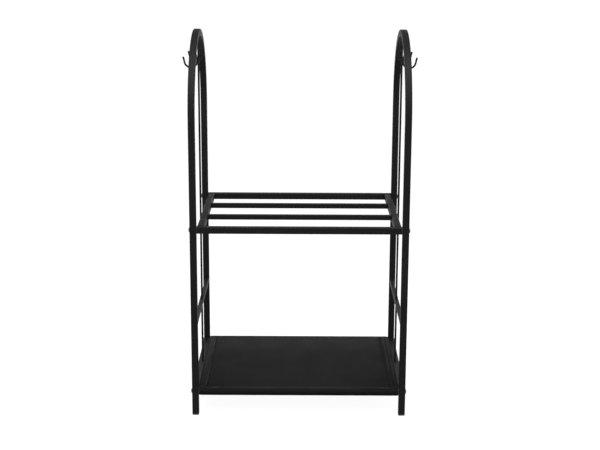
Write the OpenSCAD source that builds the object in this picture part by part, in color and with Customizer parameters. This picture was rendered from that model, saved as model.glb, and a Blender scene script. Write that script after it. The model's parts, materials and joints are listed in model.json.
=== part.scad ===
// Free-standing valet stand: two arched side frames of square tube carry a slatted
// shelf at mid height and a fabric-covered shelf near the floor.
// Origin: centre of the footprint, on the floor. +X to the right, +Y to the back, +Z up.

/* [Overall] */
// Width over the outer faces of the two side frames
frame_w = 515; // [460:5:620]
// Depth over the front and back legs
frame_d = 400; // [360:5:460]
// Height to the top of the arches
frame_h = 912; // [820:1:1000]

/* [Side frames] */
// Side of the square tube of the arches and shelf frames
tube = 16; // [14:0.5:20]
// Outer radius of the tube's corners
tube_corner = 2; // [1.5:0.5:2.5]
// Wall of the tube
tube_wall = 1.2; // [1:0.1:1.5]
// Side of the thin square tube that braces each side frame
brace = 10; // [8:0.5:12]
// Height of the brace's centre above the floor
brace_z = 232; // [150:1:300]
// Diameter of the upright rod in the middle of each side frame
rod_d = 5; // [4:0.5:6]

/* [Shelves] */
// Height of the top of the slatted shelf
upper_top = 468; // [400:1:560]
// Height of the top of the lower shelf's frame
lower_top = 68; // [60:1:120]
// Side of the square tube of the slats
slat = 12; // [8:0.5:14]
// Gap between a shelf frame and the legs, taken up by the flange of each end plug
shelf_gap = 1.2; // [1:0.1:2]
// Thickness of the lower shelf's fabric cover
fabric_t = 0.8; // [0.6:0.1:1]
// How far the cover's hem reaches in under the rails
hem_w = 14; // [10:1:15]

/* [Hooks] */
// Diameter of the hook wire
hook_wire = 4.5; // [4:0.5:5]
// Distance of each hook from the middle of the arch, front and back
hook_y = 70; // [50:1:90]
// Radius of the hook's bend, at the middle of the wire
hook_r = 15.3; // [12:0.1:18]
// Drop from the top of the arch to the centre of the hook's bend
hook_drop = 70; // [62:1:82]
// Distance from the tube's middle plane out to the centre of the bend
hook_out = 9.3; // [8:0.1:12]
// Lean of the shank and the outer arm, away from upright
hook_lean = 13; // [8:1:13]
// Length of the straight outer arm
arm_l = 12; // [8:1:16]

/* [Fasteners and feet] */
// Diameter of the shelf bolts' thread
bolt_d = 6; // [5:1:6]
// Diameter of the bolt heads
bolt_head_d = 12.5; // [11:0.5:14]
// Height of the bolt heads
bolt_head_h = 2.9; // [2:0.1:4]
// Length of the bolts under the head
bolt_l = 32; // [26:1:36]
// Length of the threaded plug inside each rail end
plug_l = 20; // [15:1:25]
// Height of the foot pad under each leg
foot_h = 4; // [3:0.5:6]
// Length of the foot's stem inside the leg
stem_l = 16; // [10:1:25]

/* [Hidden] */
$fn = 64;
corner_fn = 32;
fit = 0.1;                                  // clearance between parts that slip together
touch = 0.05;                               // gap left at a welded face of another shape
leg_x = frame_w / 2 - tube / 2;             // middle plane of a side frame
leg_y = frame_d / 2 - tube / 2;             // centre of the front and back legs
arch_r = leg_y;                             // centre line of the arch
spring_z = frame_h - frame_d / 2;           // where the legs turn into the arch
inner_x = frame_w / 2 - tube;               // inner face of the legs
inner_y = frame_d / 2 - tube;               // inner face of the legs, front to back
rail_end_x = inner_x - shelf_gap;           // ends of the front and back rails
brace_x = inner_x + brace / 2;              // the brace is flush with the inner faces
bore = tube - 2 * tube_wall;                // inside of the tube
slat_corner = 1.5;
thin_wall = 1;
slat_y = leg_y / 3;                         // two slats share the depth evenly with the rails
plug = bore - 2 * fit;
plug_corner = 0.8;
head_rim = 0.9;                             // straight edge of a bolt head, below its dome
hex_d = 4.6;                                // across the corners of the socket in a bolt head
hex_depth = 1.8;
foot_step = 1;                              // narrower sole of the foot
foot_inset = 0.8;
slit_w = 2;                                 // slit in the foot's stem, which lets it squeeze in
slit_h = 11;
hook_x = leg_x + hook_out;
hook_z = frame_h - hook_drop;
flange = tube - 6 * fit;                    // flange of an end plug
sides = [-1, 1];
frame_black = [0.13, 0.13, 0.135];
fabric_black = [0.16, 0.16, 0.165];
plastic_black = [0.07, 0.07, 0.07];

// ---- shared shapes ----

module rounded_square(side, corner) {
    square([side, side - 2 * corner], center = true);
    square([side - 2 * corner, side], center = true);
    for (sx = sides, sy = sides)
        translate([sx * (side / 2 - corner), sy * (side / 2 - corner)])
            circle(r = corner, $fn = corner_fn);
}

module tube_section(side, corner, wall) {
    difference() {
        rounded_square(side, corner);
        rounded_square(side - 2 * wall, corner - wall / 2);
    }
}

// Runs its 2D child from -length / 2 to length / 2 along X
module along_x(length) {
    rotate([90, 0, 90])
        translate([0, 0, -length / 2])
            linear_extrude(length) children();
}

// Runs its 2D child from -length / 2 to length / 2 along Y
module along_y(length) {
    rotate([90, 0, 0])
        translate([0, 0, -length / 2])
            linear_extrude(length) children();
}

// Turns a child that is drawn for the right-hand side to the given side
module towards(side) {
    mirror([side < 0 ? 1 : 0, 0, 0]) children();
}

module frame_section() {
    tube_section(tube, tube_corner, tube_wall);
}

// ---- side frames ----

// One tube, bent into a front leg, a half circle and a back leg
module arch_tube(side) {
    color(frame_black)
        translate([side * leg_x, 0, 0])
            difference() {
                union() {
                    for (sy = sides)
                        translate([0, sy * leg_y, foot_h])
                            linear_extrude(spring_z - foot_h) frame_section();
                    translate([0, 0, spring_z])
                        rotate([90, 0, 90])
                            rotate_extrude(angle = 180)
                                translate([arch_r, 0]) frame_section();
                }
                for (sy = sides, top = [upper_top, lower_top])
                    translate([0, sy * leg_y, top - tube / 2])
                        rotate([0, 90, 0])
                            cylinder(d = bolt_d + 2 * fit, h = 2 * tube, center = true);
            }
}

// Thin tube between the legs, drilled for the rod
module side_brace(side) {
    color(frame_black)
        translate([side * brace_x, 0, brace_z])
            difference() {
                along_y(2 * inner_y) tube_section(brace, slat_corner, thin_wall);
                cylinder(d = rod_d + 2 * fit, h = 2 * brace, center = true);
            }
}

module bottom_rail(side) {
    color(frame_black)
        translate([side * leg_x, 0, lower_top - tube / 2])
            along_y(2 * inner_y) frame_section();
}

module side_rod(side) {
    color(frame_black)
        translate([side * brace_x, 0, lower_top])
            cylinder(d = rod_d, h = frame_h - tube - touch - lower_top);
}

// Wire hook under the arch: a leaning shank, a bend and an outer arm with a rounded end
module wire_hook(side, end) {
    color(frame_black)
        translate([side * hook_x, end * hook_y, hook_z])
            towards(side)
                intersection() {
                    union() {
                        rotate([90, 0, 0])
                            rotate([0, 0, 180 - hook_lean])
                                rotate_extrude(angle = 180)
                                    translate([hook_r, 0]) circle(d = hook_wire);
                        rotate([0, hook_lean, 0]) {
                            translate([-hook_r, 0, 0]) cylinder(d = hook_wire, h = hook_drop);
                            translate([hook_r, 0, 0]) cylinder(d = hook_wire, h = arm_l);
                            translate([hook_r, 0, arm_l]) sphere(d = hook_wire);
                        }
                    }
                    // the shank ends at the inner face of the arch
                    translate([0, -end * hook_y, spring_z - hook_z])
                        rotate([0, 90, 0])
                            cylinder(r = inner_y - touch, h = frame_w, center = true);
                }
}

// ---- shelves ----

module cross_rail(end, top) {
    color(frame_black)
        translate([0, end * leg_y, top - tube / 2])
            along_x(2 * rail_end_x) frame_section();
}

module shelf_side_rail(side, top) {
    color(frame_black)
        translate([side * (rail_end_x - tube / 2), 0, top - tube / 2])
            along_y(2 * inner_y) frame_section();
}

module shelf_slat(end) {
    color(frame_black)
        translate([0, end * slat_y, upper_top - slat / 2])
            along_x(2 * (rail_end_x - tube)) tube_section(slat, slat_corner, thin_wall);
}

// Cover of the lower shelf: a stretched panel, wrapped down and in under the four rails
module fabric_cover() {
    cover = [2 * (rail_end_x + fabric_t), frame_d + 2 * fabric_t, tube + 2 * fabric_t];
    color(fabric_black)
        translate([0, 0, lower_top - tube / 2])
            difference() {
                cube(cover, center = true);
                cube([2 * rail_end_x, frame_d, tube], center = true);
                translate([0, 0, -tube / 2])
                    cube([cover.x - 2 * hem_w, cover.y - 2 * hem_w, 4 * fabric_t], center = true);
                for (sy = sides)
                    translate([0, sy * leg_y, 0])
                        along_x(frame_w) rounded_square(flange + 2 * fit, tube_corner);
            }
}

// ---- fasteners and feet ----

// A low domed socket-head bolt, pointing along -X, with the head's seat at the origin
module bolt() {
    dome_r = (bolt_head_d * bolt_head_d / 4 + (bolt_head_h - head_rim) * (bolt_head_h - head_rim))
        / (2 * (bolt_head_h - head_rim));
    rotate([0, 90, 0]) {
        difference() {
            intersection() {
                cylinder(d = bolt_head_d, h = bolt_head_h);
                translate([0, 0, bolt_head_h - dome_r]) sphere(r = dome_r);
            }
            translate([0, 0, bolt_head_h - hex_depth])
                cylinder(d = hex_d, h = bolt_head_h, $fn = 6);
        }
        translate([0, 0, -bolt_l]) cylinder(d = bolt_d, h = bolt_l);
    }
}

module bolt_set(top) {
    color(plastic_black)
        for (side = sides, sy = sides)
            translate([0, sy * leg_y, top - tube / 2])
                towards(side)
                    translate([frame_w / 2, 0, 0]) bolt();
}

// Threaded plug in the end of a rail; its flange stands between the rail and the leg
module end_plug() {
    difference() {
        union() {
            along_x_from(-plug_l, 0) rounded_square(plug, plug_corner);
            along_x_from(0, shelf_gap) rounded_square(flange, tube_corner);
        }
        rotate([0, 90, 0])
            cylinder(d = bolt_d + fit, h = 4 * plug_l, center = true);
    }
}

module along_x_from(start, end) {
    translate([(start + end) / 2, 0, 0]) along_x(end - start) children();
}

module plug_set(top) {
    color(plastic_black)
        for (side = sides, sy = sides)
            translate([0, sy * leg_y, top - tube / 2])
                towards(side)
                    translate([rail_end_x, 0, 0]) end_plug();
}

// Foot: a pad under the leg, on a slit stem that is pushed into the tube
module foot(side, end) {
    color(plastic_black)
        translate([side * leg_x, end * leg_y, 0]) {
            linear_extrude(foot_step) rounded_square(tube - 2 * foot_inset, tube_corner);
            translate([0, 0, foot_step])
                linear_extrude(foot_h - foot_step) rounded_square(tube, tube_corner);
            translate([0, 0, foot_h])
                difference() {
                    linear_extrude(stem_l) rounded_square(plug, plug_corner);
                    translate([0, 0, stem_l - slit_h / 2])
                        cube([2 * tube, slit_w, slit_h + fit], center = true);
                }
        }
}

arch_tube(-1);  // left_arch_tube
arch_tube(1);  // right_arch_tube
side_brace(-1);  // left_brace
side_brace(1);  // right_brace
bottom_rail(-1);  // left_bottom_rail
bottom_rail(1);  // right_bottom_rail
side_rod(-1);  // left_rod
side_rod(1);  // right_rod
wire_hook(-1, -1);  // left_front_hook
wire_hook(-1, 1);  // left_back_hook
wire_hook(1, -1);  // right_front_hook
wire_hook(1, 1);  // right_back_hook
cross_rail(-1, upper_top);  // upper_shelf_front_rail
cross_rail(1, upper_top);  // upper_shelf_back_rail
shelf_side_rail(-1, upper_top);  // upper_shelf_left_rail
shelf_side_rail(1, upper_top);  // upper_shelf_right_rail
shelf_slat(-1);  // upper_shelf_front_slat
shelf_slat(1);  // upper_shelf_back_slat
cross_rail(-1, lower_top);  // lower_shelf_front_rail
cross_rail(1, lower_top);  // lower_shelf_back_rail
shelf_side_rail(-1, lower_top);  // lower_shelf_left_rail
shelf_side_rail(1, lower_top);  // lower_shelf_right_rail
fabric_cover();  // lower_shelf_fabric
bolt_set(upper_top);  // upper_shelf_bolts
bolt_set(lower_top);  // lower_shelf_bolts
plug_set(upper_top);  // upper_shelf_end_plugs
plug_set(lower_top);  // lower_shelf_end_plugs
foot(-1, -1);  // front_left_foot
foot(1, -1);  // front_right_foot
foot(-1, 1);  // back_left_foot
foot(1, 1);  // back_right_foot
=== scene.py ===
"""Looks of the valet stand: materials, weld beads, the lower shelf's cover, lights and camera."""

import json
import math

import bmesh
import bpy
from mathutils import Matrix, Vector, noise
from mathutils.bvhtree import BVHTree


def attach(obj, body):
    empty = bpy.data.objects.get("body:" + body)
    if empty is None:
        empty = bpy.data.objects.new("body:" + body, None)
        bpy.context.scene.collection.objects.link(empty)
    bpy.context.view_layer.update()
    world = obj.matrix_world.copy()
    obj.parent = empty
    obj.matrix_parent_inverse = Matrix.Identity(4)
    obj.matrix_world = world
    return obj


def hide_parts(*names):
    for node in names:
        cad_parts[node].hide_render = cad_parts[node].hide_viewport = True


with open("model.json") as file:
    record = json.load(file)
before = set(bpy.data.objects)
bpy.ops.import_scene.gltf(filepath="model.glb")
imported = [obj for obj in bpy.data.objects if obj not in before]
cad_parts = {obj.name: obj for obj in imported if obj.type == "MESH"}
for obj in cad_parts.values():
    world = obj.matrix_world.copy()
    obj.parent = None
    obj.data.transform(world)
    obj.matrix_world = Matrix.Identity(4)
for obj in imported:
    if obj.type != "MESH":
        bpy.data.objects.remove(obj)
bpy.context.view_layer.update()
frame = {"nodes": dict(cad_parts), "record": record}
MM = 0.001
X, Y, Z = Vector((1, 0, 0)), Vector((0, 1, 0)), Vector((0, 0, 1))

# -------------------------------------------------- dimensions of the frame, in millimetres

LEG_X, LEG_Y = 249.5, 192.0  # middle of a leg
TUBE, BRACE, SLAT = 16.0, 10.0, 12.0  # sides of the square tubes
TUBE_CORNER, THIN_CORNER = 2.0, 1.5  # outer corners: of legs and rails, of braces and slats
INNER_Y = LEG_Y - TUBE / 2  # inner faces of the legs, front and back
SHELF_GAP = 1.2  # from a leg to the shelf beside it
SHELF_X = LEG_X - TUBE / 2 - SHELF_GAP  # ends of the shelves, left and right
SPAN_X, SPAN_Y = SHELF_X - TUBE, INNER_Y  # half of the open space between a shelf's rails
SLAT_Y = LEG_Y / 3
UPPER_TOP, LOWER_TOP = 468.0, 68.0
BRACE_X, BRACE_Z = LEG_X - TUBE / 2 + BRACE / 2, 232.0
ROD_R = 2.5
ARCH_Z, ARCH_INNER_R = 712.0, INNER_Y
HOOK_Y, HOOK_WIRE_R = 70.0, 2.25
SHANK_X, SHANK_Z = 243.89, 845.44  # where a hook's bend turns into its shank
SHANK_LEAN = math.radians(13)  # the shank's angle from upright

# -------------------------------------------------- materials


class Shader:
    """A Principled material and short ways to add nodes to it, in metres and cells per metre."""

    def __init__(self, name):
        self.mat = bpy.data.materials.new(name)
        self.mat.use_nodes = True
        self.tree = self.mat.node_tree
        self.bsdf = self.tree.nodes["Principled BSDF"]

    def feed(self, socket, value):
        """Links an output to the socket, or sets a plain value on it."""
        if isinstance(value, bpy.types.NodeSocket):
            self.tree.links.new(value, socket)
        else:
            socket.default_value = value

    def add(self, kind, inputs=None, **settings):
        """A new node with its settings, and with values or links on its inputs."""
        node = self.tree.nodes.new("ShaderNode" + kind)
        for key, value in settings.items():
            setattr(node, key, value)
        for key, value in (inputs or {}).items():
            self.feed(node.inputs[key], value)
        return node

    def math(self, operation, a, b=0.0):
        return self.add("Math", {0: a, 1: b}, operation=operation).outputs[0]

    def remap(self, value, low, high, to_low, to_high):
        ends = {"From Min": low, "From Max": high, "To Min": to_low, "To Max": to_high}
        return self.add("MapRange", {"Value": value, **ends}).outputs["Result"]

    def noise(self, vector, scale, detail=2.0, rough=0.5):
        inputs = {"Vector": vector, "Scale": scale, "Detail": detail, "Roughness": rough}
        return self.add("TexNoise", inputs).outputs["Fac"]

    def blend(self, factor, a, b):
        """The colour a where the factor is 0, and b where it is 1."""
        return self.add("Mix", {0: factor, 6: a, 7: b}, data_type="RGBA").outputs[2]

    def set(self, **values):
        """Feeds the Principled shader's inputs. An underscore stands for a space."""
        for key, value in values.items():
            self.feed(self.bsdf.inputs[key.replace("_", " ")], value)

    def bump(self, height, distance, strength, normal=None):
        inputs = {"Height": height, "Distance": distance, "Strength": strength}
        if normal is not None:
            inputs["Normal"] = normal
        return self.add("Bump", inputs).outputs["Normal"]

    def place(self):
        return self.add("TexCoord").outputs["Object"]

    def edges(self, radius):
        """(rounded normal, how near an edge the point is, 0 to 1)"""
        rounded = self.add("Bevel", {"Radius": radius}, samples=4).outputs["Normal"]
        flat = self.add("NewGeometry").outputs["Normal"]
        dot = self.add("VectorMath", {0: rounded, 1: flat}, operation="DOT_PRODUCT")
        return rounded, self.remap(dot.outputs["Value"], 1.0, 0.80, 0.0, 1.0)


def grey(value, warm=0.0):
    """A grey, or a slightly warm or cold one where warm isn't 0."""
    return (value * (1 + warm), value, value * (1 - warm), 1.0)


def powder_coat():
    """Fine-textured matt black coat: grains under a millimetre, clouds of gloss, rubbed edges."""
    dark, light, cloudy = (grey(value, -0.01) for value in (0.0024, 0.0051, 0.0056))
    worn = grey(0.03, 0.01)
    s = Shader("frame_coat_look")
    at = s.place()
    grain = s.noise(at, 1500.0, 2.0, 0.55)
    cloud = s.noise(at, 14.0, 3.0, 0.6)
    patch = s.noise(at, 160.0, 3.0, 0.65)
    rounded, edge = s.edges(0.0012)
    wear = s.math("MULTIPLY", edge, s.remap(patch, 0.42, 0.68, 0.0, 1.0))
    tone = s.blend(s.remap(grain, 0.3, 0.7, 0.0, 1.0), dark, light)
    tone = s.blend(s.remap(cloud, 0.35, 0.7, 0.0, 0.35), tone, cloudy)
    tone = s.blend(s.math("MULTIPLY", wear, 0.55), tone, worn)
    rough = s.remap(cloud, 0.3, 0.7, 0.50, 0.60)
    rough = s.math("SUBTRACT", rough, s.math("MULTIPLY", wear, 0.12))
    s.set(Base_Color=tone, Roughness=rough, Specular_IOR_Level=0.075)
    s.set(Normal=s.bump(grain, 0.00012, 0.35, rounded))
    return s.mat


def woven_cloth():
    """Plain weave in the cloth's own flat coordinates, with slubs, a slight fuzz, and the cover's
    painted light and shade.
    """
    pitch = 0.00085  # from thread to thread
    painted_hollow_shade, crown = grey(0.0030), grey(0.0087, 0.01)
    slubby, cloudy = grey(0.012, 0.01), grey(0.0087)
    # painted light and painted shade: the pale and dark tones mixed in by the cover's stored
    # shading
    painted_light_tone, painted_shade_tone = grey(0.030, 0.01), grey(0.0004)
    s = Shader("shelf_fabric_look")
    flat = s.add("UVMap", uv_map="cloth").outputs["UV"]
    split = s.add("SeparateXYZ", {0: flat})
    u = s.math("DIVIDE", split.outputs["X"], pitch)
    v = s.math("DIVIDE", split.outputs["Y"], pitch)

    def hump(value):
        return s.math("SINE", s.math("MULTIPLY", s.math("FRACT", value), math.pi))

    def threads(across, along):
        """Threads that are round across their width and dip between crossings."""
        dip = s.math("ADD", 0.65, s.math("MULTIPLY", hump(along), 0.35))
        return s.math("MULTIPLY", hump(across), dip)

    def streaks(scales):
        stretched = s.add("VectorMath", {0: flat, 1: scales}, operation="MULTIPLY")
        return s.noise(stretched.outputs[0], 1.0, 2.0)

    cells = s.add("CombineXYZ", {"X": u, "Y": v, "Z": 0.5}).outputs[0]
    over = s.add("TexChecker", {"Vector": cells, "Scale": 1.0}).outputs["Fac"]
    warp = s.math("MULTIPLY", threads(u, v), over)
    weft = s.math("MULTIPLY", threads(v, u), s.math("SUBTRACT", 1.0, over))
    height = s.math("ADD", warp, weft)
    slub = s.math("ADD", streaks((30.0, 900.0, 1.0)), streaks((900.0, 30.0, 1.0)))
    cloud = s.noise(flat, 9.0, 3.0, 0.6)
    # painted shade: darker in the weave's hollows than on the threads' crowns
    tone = s.blend(s.remap(height, 0.1, 0.95, 0.0, 1.0), painted_hollow_shade, crown)
    tone = s.blend(s.remap(slub, 0.75, 1.25, 0.0, 0.45), tone, slubby)
    tone = s.blend(s.remap(cloud, 0.35, 0.7, 0.0, 0.25), tone, cloudy)
    # painted light and shade, stored on the cover's points: paler tone for painted light, darker
    # for painted shade
    painted_shading = s.add("Attribute", attribute_name="painted_shading").outputs["Fac"]
    tone = s.blend(s.remap(painted_shading, 0.0, 1.0, 0.0, 1.0), tone, painted_light_tone)
    tone = s.blend(s.remap(painted_shading, 0.0, -1.0, 0.0, 1.0), tone, painted_shade_tone)
    rough = s.remap(height, 0.0, 1.0, 0.98, 0.9)
    s.set(Base_Color=tone, Roughness=rough, Specular_IOR_Level=0.04)
    s.set(Sheen_Weight=0.006, Sheen_Roughness=0.45, Sheen_Tint=(0.8, 0.8, 0.85, 1.0))
    fuzz = s.noise(flat, 2600.0, 2.0, 0.6)
    s.set(Normal=s.bump(height, 0.00018, 0.45, s.bump(fuzz, 0.0001, 0.15)))
    return s.mat


def stitch_thread():
    """Twisted sewing thread."""
    dark, light = grey(0.002), grey(0.006)
    s = Shader("stitch_thread_look")
    wave = {"Vector": s.place(), "Scale": 900.0, "Distortion": 1.5, "Detail": 1.0}
    twist = s.add("TexWave", wave, wave_type="BANDS", bands_direction="DIAGONAL").outputs["Fac"]
    s.set(Base_Color=s.blend(twist, dark, light), Roughness=s.remap(twist, 0, 1, 0.85, 0.7))
    s.set(Specular_IOR_Level=0.06, Normal=s.bump(twist, 0.0001, 0.5))
    return s.mat


def black_oxide():
    """Satin black steel bolts: faint turning marks, and bright metal where a key has rubbed."""
    dark, light, bare = grey(0.013), grey(0.024, 0.02), grey(0.16, 0.02)
    s = Shader("bolt_black_look")
    at = s.place()
    rings = s.noise(at, 700.0, 3.0, 0.6)
    patch = s.noise(at, 260.0, 2.0, 0.5)
    rounded, edge = s.edges(0.0006)
    wear = s.math("MULTIPLY", edge, s.remap(patch, 0.45, 0.65, 0.0, 1.0))
    tone = s.blend(s.remap(rings, 0.3, 0.7, 0.0, 1.0), dark, light)
    s.set(Base_Color=s.blend(s.math("MULTIPLY", wear, 0.5), tone, bare))
    s.set(Metallic=s.math("MULTIPLY", wear, 0.6), Roughness=s.remap(rings, 0.3, 0.7, 0.34, 0.48))
    s.set(Specular_IOR_Level=0.4, Normal=s.bump(rings, 0.00008, 0.25, rounded))
    return s.mat


def moulded_plastic(name, scuffed):
    """Spark-eroded matt nylon, scuffed near the floor by that much, from 0 to 1."""
    dark, light, scratched = grey(0.008), grey(0.014), grey(0.05, 0.03)
    scuff_height = 0.0025
    s = Shader(name)
    at = s.place()
    spark = s.noise(at, 1900.0, 3.0, 0.6)
    patch = s.noise(at, 240.0, 3.0, 0.7)
    height = s.add("SeparateXYZ", {0: at}).outputs["Z"]
    low = s.remap(height, 0.0, scuff_height, scuffed, 0.0)
    mark = s.math("MULTIPLY", low, s.remap(patch, 0.45, 0.65, 0.0, 1.0))
    rounded, _ = s.edges(0.0005)
    tone = s.blend(s.remap(spark, 0.3, 0.7, 0.0, 1.0), dark, light)
    s.set(Base_Color=s.blend(s.math("MULTIPLY", mark, 0.6), tone, scratched))
    s.set(Roughness=s.remap(spark, 0.3, 0.7, 0.5, 0.68), Specular_IOR_Level=0.35)
    s.set(Normal=s.bump(spark, 0.0001, 0.4, rounded))
    return s.mat


coat = powder_coat()
cloth = woven_cloth()
thread = stitch_thread()
looks = {
    "frame_coat": coat,
    "shelf_fabric": cloth,
    "bolt_black": black_oxide(),
    "plug_plastic": moulded_plastic("plug_plastic_look", 0.0),
    "foot_plastic": moulded_plastic("foot_plastic_look", 1.0),
}
for part in frame["record"]["subparts"]:
    mesh = frame["nodes"][part["node"]].data
    for i in range(len(mesh.materials)):
        mesh.materials[i] = looks[part["material_slot"]]

# -------------------------------------------------- mesh helpers


def piece(name, bm, material):
    """A smooth mesh object, in metres, that rides on the frame."""
    mesh = bpy.data.meshes.new(name)
    bm.transform(Matrix.Scale(MM, 4))
    bm.to_mesh(mesh)
    bm.free()
    mesh.materials.append(material)
    mesh.shade_smooth()
    obj = bpy.data.objects.new(name, mesh)
    bpy.context.scene.collection.objects.link(obj)
    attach(obj, "root")
    return obj


def bead(bm, points, radius, closed=True, ripple=0.16, pitch=2.4, sides=8):
    """A tube along the points whose thickness ripples like a weld bead."""
    count = len(points)
    run, rings = 0.0, []
    for i, point in enumerate(points):
        before = points[i - 1] if closed or i else point
        after = points[(i + 1) % count] if closed or i < count - 1 else point
        tangent = (after - before).normalized()
        up = Z if abs(tangent.z) < 0.9 else X
        side = tangent.cross(up).normalized()
        up = side.cross(tangent)
        run += (point - before).length if i else 0.0
        swell = 0.1 * noise.noise(point * 0.35)
        r = radius * (1 + ripple * math.sin(2 * math.pi * run / pitch) + swell)
        ring = []
        for k in range(sides):
            angle = 2 * math.pi * k / sides
            ring.append(bm.verts.new(point + (side * math.cos(angle) + up * math.sin(angle)) * r))
        rings.append(ring)
    for i in range(count if closed else count - 1):
        a, b = rings[i], rings[(i + 1) % count]
        for k in range(sides):
            bm.faces.new((a[k], a[(k + 1) % sides], b[(k + 1) % sides], b[k]))
    if not closed:
        bm.faces.new(rings[0])
        bm.faces.new(list(reversed(rings[-1])))


def square_loop(centre, first, second, side, corner, step=0.6):
    """Points round a rounded square of that side, in the plane of two unit vectors."""
    half = side / 2
    straight = side - 2 * corner
    along_side = max(2, round(straight / step))
    along_corner = 5
    points = []
    for quarter in range(4):
        c, s = math.cos(quarter * math.pi / 2), math.sin(quarter * math.pi / 2)

        def turned(a, b):
            return centre + first * (a * c - b * s) + second * (a * s + b * c)

        for k in range(along_side):
            points.append(turned(half, -straight / 2 + straight * k / along_side))
        for k in range(along_corner):
            angle = k / along_corner * math.pi / 2
            out, up = corner * math.cos(angle), corner * math.sin(angle)
            points.append(turned(half - corner + out, half - corner + up))
    return points


def round_loop(centre, first, second, radius, count=28):
    return [
        centre
        + first * radius * math.cos(2 * math.pi * k / count)
        + second * radius * math.sin(2 * math.pi * k / count)
        for k in range(count)
    ]


# -------------------------------------------------- weld beads

WELD_R, BRACE_WELD_R, RAIL_WELD_R = 0.7, 0.65, 0.6  # half thickness of a bead
FINE_PITCH = 1.8  # length of a ripple in the beads round rods and hooks
ROD_WELD_OUT, HOOK_WELD_OUT = 0.2, 0.1  # from the wire's surface to the middle of the bead


def frame_welds(side):
    """Round the ends of the bottom rail and of the brace."""
    bm = bmesh.new()
    for end in (-1, 1):
        rail_end = Vector((side * LEG_X, end * INNER_Y, LOWER_TOP - TUBE / 2))
        bead(bm, square_loop(rail_end, X, Z, TUBE, TUBE_CORNER), WELD_R)
        brace_end = Vector((side * BRACE_X, end * INNER_Y, BRACE_Z))
        bead(bm, square_loop(brace_end, X, Z, BRACE, THIN_CORNER), BRACE_WELD_R)
    return bm


def rod_welds(side):
    """Round the rod at the bottom rail, below and above the brace, and at the arch."""
    bm = bmesh.new()
    for z in (LOWER_TOP, BRACE_Z - BRACE / 2, BRACE_Z + BRACE / 2, ARCH_Z + ARCH_INNER_R):
        centre = Vector((side * BRACE_X, 0, z))
        bead(bm, round_loop(centre, X, Y, ROD_R + ROD_WELD_OUT), WELD_R, pitch=FINE_PITCH)
    return bm


def hook_welds(side):
    """Round the top of each hook's shank, on the curved inside of the arch."""
    bm = bmesh.new()
    up = Vector((side * math.sin(SHANK_LEAN), 0, math.cos(SHANK_LEAN)))
    across = Vector((side * math.cos(SHANK_LEAN), 0, -math.sin(SHANK_LEAN)))
    for end in (-1, 1):
        foot = Vector((side * SHANK_X, end * HOOK_Y, SHANK_Z))
        ring = []
        for point in round_loop(foot, across, Y, HOOK_WIRE_R + HOOK_WELD_OUT, 24):
            arch_z = ARCH_Z + math.sqrt(ARCH_INNER_R**2 - point.y**2)
            ring.append(point + up * ((arch_z - point.z) / up.z))
        bead(bm, ring, WELD_R, pitch=FINE_PITCH)
    return bm


def shelf_welds():
    """Round the ends of the upper shelf's side rails and slats."""
    bm = bmesh.new()
    for side in (-1, 1):
        for end in (-1, 1):
            rail_end = Vector((side * (SHELF_X - TUBE / 2), end * INNER_Y, UPPER_TOP - TUBE / 2))
            bead(bm, square_loop(rail_end, X, Z, TUBE, TUBE_CORNER), RAIL_WELD_R)
            slat_end = Vector((side * SPAN_X, end * SLAT_Y, UPPER_TOP - SLAT / 2))
            bead(bm, square_loop(slat_end, Y, Z, SLAT, THIN_CORNER), WELD_R)
    return bm


for side, name in ((-1, "left"), (1, "right")):
    piece(f"{name}_frame_welds", frame_welds(side), coat)
    piece(f"{name}_rod_welds", rod_welds(side), coat)
    piece(f"{name}_hook_welds", hook_welds(side), coat)
piece("upper_shelf_welds", shelf_welds(), coat)

# -------------------------------------------------- stretched cover of the lower shelf

CLOTH_T = 0.8  # thickness of the cloth
EDGE_R = TUBE_CORNER + CLOTH_T  # bend of the cloth's outer face over a rail's edge
FLAT_X = SHELF_X - TUBE_CORNER  # where the bend starts, left and right
FLAT_Y = LEG_Y + TUBE / 2 - TUBE_CORNER  # and front and back
TOP_Z = LOWER_TOP + CLOTH_T
DROP = TUBE - 2 * TUBE_CORNER  # flat part over a rail's outer face
HEM = 11.2  # flat part under a rail
HEM_Z = TOP_Z - 2 * EDGE_R - DROP
PLAN_R, PLAN_R_MIN = 2.4, 0.4  # bend of the sewn corner, seen from above
BEND_STEPS, FACE_STEPS = 5, 4  # rows of faces in a bend and in a flat part
SAG = 6.5  # how far the middle hangs down

SEAM_LEFT, SEAM_RIGHT = -223.5, 221.0  # seams of the two sleeves, also painted dark as their shade
CREASE_X = 231.0  # crease on top of the right side rail, also painted dark as its shade
FOLD_X = 216.0  # faint fold inside the right seam, only painted, as a dark line of shade
BRIDGE_X = 236.0  # where the cloth stands off a side rail the most
CORNER_X, CORNER_Y = 240.0, 196.0  # where the pulls start
PULLS = ((-1.3, 0.22, 0.10), (0.6, 0.50, 0.14), (-0.7, 1.25, 0.12))  # (rise, radians, width)
RIPPLE_X = 130.0  # ripples lie further out than this
# painted highlight over the front rail, painted shadow just behind it, painted light towards the
# back
FRONT_HIGHLIGHT_Y, FRONT_SHADOW_Y, BACK_LIGHT_Y = -193.0, -173.0, 176.0
LEG_CREASE_Y, LEG_CREASE_SLOPE = -197.0, 0.22  # painted shade of creases that run in from the front legs


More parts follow.
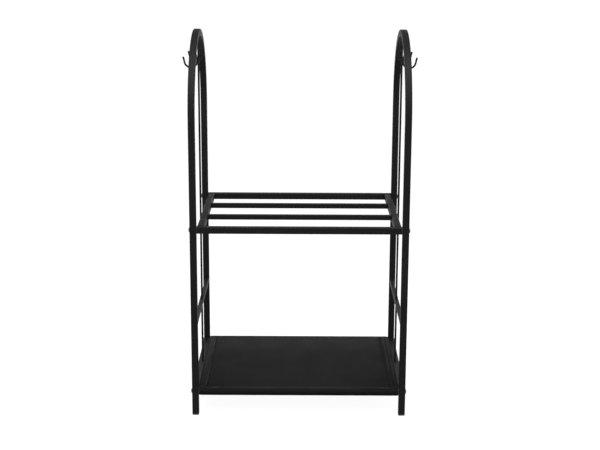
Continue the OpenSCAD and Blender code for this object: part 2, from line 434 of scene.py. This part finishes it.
def cover_profile():
    """(outward offset, height, run along the cloth) from the top's edge, over a rail and under."""
    rows = []
    for k in range(1, BEND_STEPS + 1):
        a = k / BEND_STEPS * math.pi / 2
        rows.append((EDGE_R * math.sin(a), TOP_Z - EDGE_R * (1 - math.cos(a)), EDGE_R * a))
    run = rows[-1][2]
    for k in range(1, FACE_STEPS + 1):
        down = DROP * k / FACE_STEPS
        rows.append((EDGE_R, TOP_Z - EDGE_R - down, run + down))
    run += DROP
    low = TOP_Z - EDGE_R - DROP
    for k in range(1, BEND_STEPS + 1):
        a = k / BEND_STEPS * math.pi / 2
        rows.append((EDGE_R * math.cos(a), low - EDGE_R * math.sin(a), run + EDGE_R * a))
    run = rows[-1][2]
    for k in range(1, FACE_STEPS + 1):
        rows.append((-HEM * k / FACE_STEPS, low - EDGE_R, run + HEM * k / FACE_STEPS))
    return rows


def grid_line(limit, span):
    """Positions from -limit to limit: close together over the rails and at the creases."""
    zones = ((limit - PLAN_R, 0.8), (span - 10, 1.5), (span - 40, 2.5), (0, 4.5))
    half = [limit]
    for position, step in zones:  # (inner end, spacing)
        start = half[-1]
        count = max(1, round((start - position) / step))
        half += [start + (position - start) * (k + 1) / count for k in range(count)]
    half[-1] = 0.0
    return [-p for p in half[:-1]] + list(reversed(half))


def bell(value, width):
    return math.exp(-((value / width) ** 2))


def step_between(low, high, value):
    t = min(1.0, max(0.0, (value - low) / (high - low)))
    return t * t * (3 - 2 * t)


def soft_noise(x, y, x_rate, y_rate, layer):
    """Smooth noise over the cover, about -1 to 1, with its rates per millimetre."""
    return noise.noise(Vector((x * x_rate, y * y_rate, layer)))


def seam_drift(x, y):
    """How far the seams wander from their lines."""
    return soft_noise(x, y, 0.001, 0.012, 4.4)


def corner_pulls(x, y):
    """Short pulls that run in from the four corners."""
    z = 0.0
    for corner_x, corner_y, strength in ((-1, -1, 1.0), (1, -1, 0.9), (-1, 1, 0.7), (1, 1, 1.0)):
        u = corner_x * x - CORNER_X
        v = corner_y * y - CORNER_Y
        reach = math.hypot(u, v)
        if reach < 1e-6:
            continue
        angle = math.atan2(-v, -u)
        fade = step_between(0, 9, reach) * (1 - step_between(22, 100, reach))
        for rise, direction, width in PULLS:
            z += strength * rise * bell(angle - direction, width) * fade
    return z


def ripples(x, y):
    """Waves beside the seams. On the right they spread from the back corner."""
    if x > RIPPLE_X:
        spread = (SPAN_Y - y) / (2 * SPAN_Y)
        across = (SPAN_X - x) / (0.60 + 0.55 * spread)
        fade = bell(across - 16, 15) * (1 - 0.55 * spread)
        phase = 1.2 * soft_noise(0, y, 1, 0.012, 7)
        return 0.6 * fade * math.sin(across * 0.60 + phase)
    if x < -RIPPLE_X:
        across = (SPAN_X + x) / 0.8
        phase = soft_noise(2, y, 1, 0.014, 9)
        return 0.35 * bell(across - 12, 12) * math.sin(across * 0.55 + phase)
    return 0.0


def cover_relief(x, y):
    """How far the top of the cover lies from its level plane. Depths and widths are in mm."""
    ax, ay = abs(x), abs(y)
    inside = step_between(0, 14, SPAN_X - ax) * step_between(0, 14, SPAN_Y - ay)
    over_side = step_between(SPAN_X - 2, SPAN_X + 3, ax)
    # the sleeve's seam beside each side rail, pulled down by its thread
    drift = seam_drift(x, y)
    z = -1.5 * bell(x - SEAM_RIGHT - drift, 2.6) * step_between(-14, 6, SPAN_Y - ay)
    z -= 1.4 * bell(x - SEAM_LEFT - drift, 2.4) * step_between(-14, 6, SPAN_Y - ay)
    z -= 0.5 * bell(x - CREASE_X - 2 * drift, 1.6) * step_between(0, 40, SPAN_Y - ay)
    # the cloth bridges the side rails a little loosely
    looseness = 1.0 + soft_noise(x, y, 0.03, 0.02, 3.1)
    z += 0.45 * over_side * bell(ax - BRIDGE_X, 4.0) * looseness
    # a shallow step down behind the front and back rails
    z -= 0.9 * step_between(-3, 14, SPAN_Y - ay) * (1 - over_side)
    z -= 0.35 * bell(SPAN_Y - ay - 12, 5) * (1 - over_side)
    z += corner_pulls(x, y)
    z += ripples(x, y) * inside
    # broad unevenness, and a little of it everywhere
    z += 0.35 * inside * soft_noise(x, y, 0.016, 0.009, 1.7)
    z += 0.08 * soft_noise(x, y, 0.09, 0.05, 5.2)
    return z


def cover_painted_shading(x, y, z):
    """How pale or dark the cover is painted: 1 pale, -1 dark, 0 elsewhere. Mostly painted light and
    shade, with a little random tone.
    """
    ax = abs(x)
    # on the rails' outer faces and under them: painted shade, darker towards the bottom
    if z < TOP_Z - EDGE_R and (ax > FLAT_X or abs(y) > FLAT_Y):
        return 0.08 - 0.75 * step_between(0, DROP, TOP_Z - EDGE_R - z)
    # paler over the side rails, and painted shade in the seams, crease and fold beside them
    streak = 0.6 + 0.6 * soft_noise(x, y, 0.25, 0.008, 6.6)
    drift = seam_drift(x, y)
    painted_shading = 0.34 * step_between(SPAN_X - 1, SPAN_X + 3, ax) * streak
    painted_shading -= 0.30 * bell(x - SEAM_RIGHT - drift, 2.2) + 0.35 * bell(x - SEAM_LEFT - drift, 2.6)
    painted_shading -= 0.60 * bell(x - CREASE_X - 2 * drift, 1.6)
    painted_shading -= 0.35 * bell(x - FOLD_X - 3 * drift, 2.5) * step_between(-60, 60, y)
    # a painted highlight over the front rail and a painted shadow behind it, then painted shade
    # towards the front and painted light towards the back
    painted_shading += 0.40 * bell(y - FRONT_HIGHLIGHT_Y, 7.0) - 0.22 * bell(y - FRONT_SHADOW_Y, 5.0)
    pale = 0.33 * bell(max(0.0, BACK_LIGHT_Y - y), 85.0)
    dark = (0.22 + 0.22 * step_between(90, 215, ax)) * (1 - step_between(-180, -20, y))
    painted_shading += pale - dark
    # painted shade along the creases that run in from the front legs
    for side in (-1, 1):
        reach = CORNER_X - side * x
        line = LEG_CREASE_Y + LEG_CREASE_SLOPE * reach
        painted_shading -= 0.6 * bell(y - line, 3.0) * (1 - step_between(15, 75, reach))
    painted_shading += 0.10 * soft_noise(x, y, 0.02, 0.02, 8.8)
    return max(-1.0, min(1.0, painted_shading))


def on_outline(x, y, offset, z):
    """The point of the cover's outline that belongs to a border point, that far outwards."""
    radius = max(PLAN_R_MIN, PLAN_R + offset)
    pull = min(0.0, offset + PLAN_R - PLAN_R_MIN)
    along_x, along_y = abs(x) < FLAT_X - PLAN_R, abs(y) < FLAT_Y - PLAN_R
    cx = x if along_x else math.copysign(FLAT_X - PLAN_R + pull, x)
    cy = y if along_y else math.copysign(FLAT_Y - PLAN_R + pull, y)
    if along_x:
        direction = Y * math.copysign(1, y)
    elif along_y:
        direction = X * math.copysign(1, x)
    else:
        direction = Vector((x - cx, y - cy, 0)).normalized()
    return Vector((cx, cy, z)) + direction * radius


def cover_top(bm, uv, xs, ys):
    """The level top as a grid of points, rounded at the corners."""
    last_x, last_y = len(xs) - 1, len(ys) - 1
    grid = []
    for j, y in enumerate(ys):
        row = []
        for i, x in enumerate(xs):
            border = i in (0, last_x) or j in (0, last_y)
            row.append(bm.verts.new(on_outline(x, y, 0.0, TOP_Z) if border else (x, y, TOP_Z)))
        grid.append(row)
    for j in range(last_y):
        for i in range(last_x):
            corners = ((i, j), (i + 1, j), (i + 1, j + 1), (i, j + 1))
            face = bm.faces.new([grid[b][a] for a, b in corners])
            for loop, (a, b) in zip(face.loops, corners):
                loop[uv].uv = (xs[a] * MM, ys[b] * MM)
    return grid


def cover_sides(bm, uv, xs, ys, grid):
    """The cloth from the top's border over the rails and in under them. Returns its length."""
    last_x, last_y = len(xs) - 1, len(ys) - 1
    border = [(i, 0) for i in range(last_x)]
    border += [(last_x, j) for j in range(last_y)]
    border += [(i, last_y) for i in range(last_x, 0, -1)]
    border += [(0, j) for j in range(last_y, 0, -1)]
    previous = [grid[j][i] for i, j in border]
    previous_run = 0.0
    for offset, z, run in cover_profile():
        ring = [bm.verts.new(on_outline(xs[i], ys[j], offset, z)) for i, j in border]
        for k, here in enumerate(border):
            n = (k + 1) % len(border)
            there = border[n]
            face = bm.faces.new((previous[k], ring[k], ring[n], previous[n]))
            runs = ((here, previous_run), (here, run), (there, run), (there, previous_run))
            for loop, ((i, j), r) in zip(face.loops, runs):
                x, y = xs[i], ys[j]
                if here[1] == there[1]:
                    loop[uv].uv = (x * MM, (y + math.copysign(r, y)) * MM)
                else:
                    loop[uv].uv = ((x + math.copysign(r, x)) * MM, y * MM)
        previous, previous_run = ring, run
    return run


def crease_cover(bm):
    """Gives the cover its relief, and returns the points that hang free between the rails."""
    margin = 1.0
    loose = set()
    for n, vert in enumerate(bm.verts):
        x, y, z = vert.co
        on_top = z > TOP_Z - 1e-4
        if on_top and abs(x) < FLAT_X - margin and abs(y) < FLAT_Y - margin:
            vert.co.z += cover_relief(x, y)
            if abs(x) < SPAN_X - margin and abs(y) < SPAN_Y - margin:
                loose.add(n)
        elif not on_top:
            slack = 0.25 * noise.noise(Vector((x * 0.03, y * 0.03, z * 0.12)))
            side_x = math.copysign(1, x) if abs(x) > FLAT_X else 0
            side_y = math.copysign(1, y) if abs(y) > FLAT_Y else 0
            vert.co += Vector((side_x, side_y, 0)) * slack
    return loose


def settle(obj, loose):
    """Lets the loose points of a held cloth sink, and scales that so that the deepest sinks SAG."""
    frames = 22
    held_by = obj.vertex_groups.new(name="held")
    held_by.add([i for i in range(len(obj.data.vertices)) if i not in loose], 1.0, "REPLACE")
    modifier = obj.modifiers.new("cloth", "CLOTH")
    settings = modifier.settings
    settings.quality = 5
    settings.mass = 0.05
    settings.tension_stiffness = settings.compression_stiffness = 40
    settings.shear_stiffness = 15
    settings.bending_stiffness = 2
    settings.vertex_group_mass = held_by.name
    modifier.point_cache.frame_start, modifier.point_cache.frame_end = 1, frames
    scene = bpy.context.scene
    for n in range(1, frames + 1):
        scene.frame_set(n)
    sunk = obj.evaluated_get(bpy.context.evaluated_depsgraph_get()).data
    moves = {i: sunk.vertices[i].co - obj.data.vertices[i].co for i in loose}
    deepest = max(-move.z for move in moves.values())
    obj.modifiers.remove(modifier)
    obj.vertex_groups.remove(held_by)
    for i, move in moves.items():
        obj.data.vertices[i].co += move * (SAG * MM / deepest)
    scene.frame_set(1)


cover_mesh = bmesh.new()
cloth_uv = cover_mesh.loops.layers.uv.new("cloth")
xs, ys = grid_line(FLAT_X, SPAN_X), grid_line(FLAT_Y, SPAN_Y)
top_grid = cover_top(cover_mesh, cloth_uv, xs, ys)
wrap_run = cover_sides(cover_mesh, cloth_uv, xs, ys, top_grid)
cover_mesh.normal_update()
loose = crease_cover(cover_mesh)
cover = piece("shelf_cover", cover_mesh, cloth)
settle(cover, loose)
# the cover's painted light and shade, kept on its points for its material
painted_shading = cover.data.attributes.new("painted_shading", "FLOAT", "POINT")
painted_shading.data.foreach_set("value", [cover_painted_shading(*(v.co / MM)) for v in cover.data.vertices])
surface = BVHTree.FromPolygons(
    [v.co / MM for v in cover.data.vertices], [list(f.vertices) for f in cover.data.polygons]
)
solid = cover.modifiers.new("thickness", "SOLIDIFY")
solid.thickness = CLOTH_T * MM
solid.offset = -1.0
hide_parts("lower_shelf_fabric")

# -------------------------------------------------- stitches of the two sleeves and of the hem

SEAM_INSET, HEM_INSET = 6.0, 16.0  # from a row's ends to the edges of the flat part
HEM_MARGIN = 3.0  # from the hem's stitches to its raw edge


def stitches(bm, start, end, out, lift, pitch=4.2, length=3.2, radius=0.28):
    """A row of lock stitches from start to end: each dips into the cloth at both ends."""
    rise, sunk = 0.34, 0.18
    direction = (end - start).normalized()
    for n in range(int((end - start).length / pitch)):
        at = start + direction * (n + 0.5) * pitch
        points = []
        for k in range(7):
            t = k / 6 - 0.5
            height = lift(at) + rise * math.cos(t * math.pi) - sunk
            points.append(at + direction * length * t + out * height)
        bead(bm, points, radius, closed=False, ripple=0.0, sides=6)


def above_cover(at):
    """How far the relief and sag of the cover lift a point on its top."""
    over_shelf = 100.0
    hit = surface.ray_cast(Vector((at.x, at.y, over_shelf)), -Z)[0]
    return hit.z - TOP_Z


def level(at):
    """The hem is flat, so nothing lifts its stitches."""
    return 0.0


bm = bmesh.new()
for x in (SEAM_LEFT, SEAM_RIGHT):
    y = FLAT_Y - SEAM_INSET
    stitches(bm, Vector((x, -y, TOP_Z)), Vector((x, y, TOP_Z)), Z, above_cover)
for side in (-1, 1):
    row_x, row_y = side * (FLAT_X - HEM + HEM_MARGIN), side * (FLAT_Y - HEM + HEM_MARGIN)
    x, y = FLAT_X - HEM_INSET, FLAT_Y - HEM_INSET
    stitches(bm, Vector((row_x, -y, HEM_Z)), Vector((row_x, y, HEM_Z)), -Z, level)
    stitches(bm, Vector((-x, row_y, HEM_Z)), Vector((x, row_y, HEM_Z)), -Z, level)
stitching = piece("cover_stitching", bm, thread)

# -------------------------------------------------- floor, light and camera, in metres and watts

FLOOR_HALF = 400.0  # so wide that its edge lies at the horizon
CAMERA_AT = (0.0014, -3.0290, 1.1505)
CAMERA_TILT, CAMERA_ROLL = 0.2345, 0.0043  # radians: down from level, and about its own axis
SENSOR_MM, LENS_MM = 36.0, 74.72


def floor():
    """A floor that glows enough to look white, and still takes a faint shadow."""
    bm = bmesh.new()
    bmesh.ops.create_grid(bm, x_segments=1, y_segments=1, size=FLOOR_HALF)
    mesh = bpy.data.meshes.new("floor")
    bm.to_mesh(mesh)
    bm.free()
    obj = bpy.data.objects.new("floor", mesh)
    s = Shader("floor_look")
    cloud = s.noise(s.place(), 0.7, 2.0)
    tone = s.blend(cloud, grey(0.10), grey(0.12))
    s.set(Base_Color=tone, Roughness=0.9, Specular_IOR_Level=0.1)
    s.set(Emission_Color=grey(1.0), Emission_Strength=0.95)
    mesh.materials.append(s.mat)
    bpy.context.scene.collection.objects.link(obj)


def soft_light(name, place, aim, size, power):
    """A rectangular lamp aimed at a point, which the camera doesn't see."""
    data = bpy.data.lights.new(name, "AREA")
    data.shape = "RECTANGLE"
    data.size, data.size_y = size
    data.energy = power
    obj = bpy.data.objects.new(name, data)
    obj.location = place
    obj.rotation_euler = (Vector(aim) - Vector(place)).to_track_quat("-Z", "Y").to_euler()
    obj.visible_camera = False
    bpy.context.scene.collection.objects.link(obj)


def overhead_sun(elevation, strength, angle):
    """A wide soft sun, tipped towards the front. Its angles are in degrees."""
    data = bpy.data.lights.new("overhead", "SUN")
    data.energy = strength
    data.angle = math.radians(angle)
    obj = bpy.data.objects.new("overhead", data)
    tipped = math.radians(elevation)
    back = Vector((0, -math.cos(tipped), math.sin(tipped)))
    obj.rotation_euler = back.to_track_quat("Z", "Y").to_euler()
    bpy.context.scene.collection.objects.link(obj)


def surroundings():
    """A pale room: white walls near the horizon and some way up, dimmer above."""
    world = bpy.data.worlds.new("room")
    world.use_nodes = True
    tree = world.node_tree
    coords = tree.nodes.new("ShaderNodeTexCoord")
    split = tree.nodes.new("ShaderNodeSeparateXYZ")
    ramp = tree.nodes.new("ShaderNodeValToRGB")
    tree.links.new(coords.outputs["Generated"], split.inputs[0])
    tree.links.new(split.outputs["Z"], ramp.inputs["Fac"])
    tree.links.new(ramp.outputs["Color"], tree.nodes["Background"].inputs["Color"])
    stops = ramp.color_ramp.elements
    stops[0].position, stops[0].color = 0.0, grey(1.0)
    stops[1].position, stops[1].color = 1.0, grey(0.48)
    for height, tone in ((0.18, 1.0), (0.32, 0.40)):
        stops.new(height).color = grey(tone)
    bpy.context.scene.world = world


floor()
surroundings()
overhead_sun(84, 0.55, 80)
soft_light("front_box", (0, -2.9, 3.3), (0, 0, 0.8), (2.4, 1.4), 95)
soft_light("top_box", (0, -0.62, 2.25), (0, -0.05, 0.86), (1.8, 0.9), 46)
soft_light("left_box", (-1.9, -1.0, 1.9), (0.1, 0, 0.7), (1.0, 1.6), 8)
soft_light("right_box", (1.9, -1.0, 1.9), (-0.1, 0, 0.7), (1.0, 1.6), 8)
soft_light("back_box", (0, 1.3, 0.5), (0, 0.1, 0.07), (1.6, 0.2), 3.0)

scene = bpy.context.scene
scene.view_settings.view_transform = "Standard"
camera = bpy.data.objects.new("camera", bpy.data.cameras.new("camera"))
camera.data.sensor_width, camera.data.lens = SENSOR_MM, LENS_MM
tilt = Matrix.Rotation(math.pi / 2 - CAMERA_TILT, 4, "X")
roll = Matrix.Rotation(CAMERA_ROLL, 4, "Z")
camera.matrix_world = Matrix.Translation(CAMERA_AT) @ tilt @ roll
camera.data.clip_start, camera.data.clip_end = 0.05, 1000.0
scene.collection.objects.link(camera)
scene.camera = camera
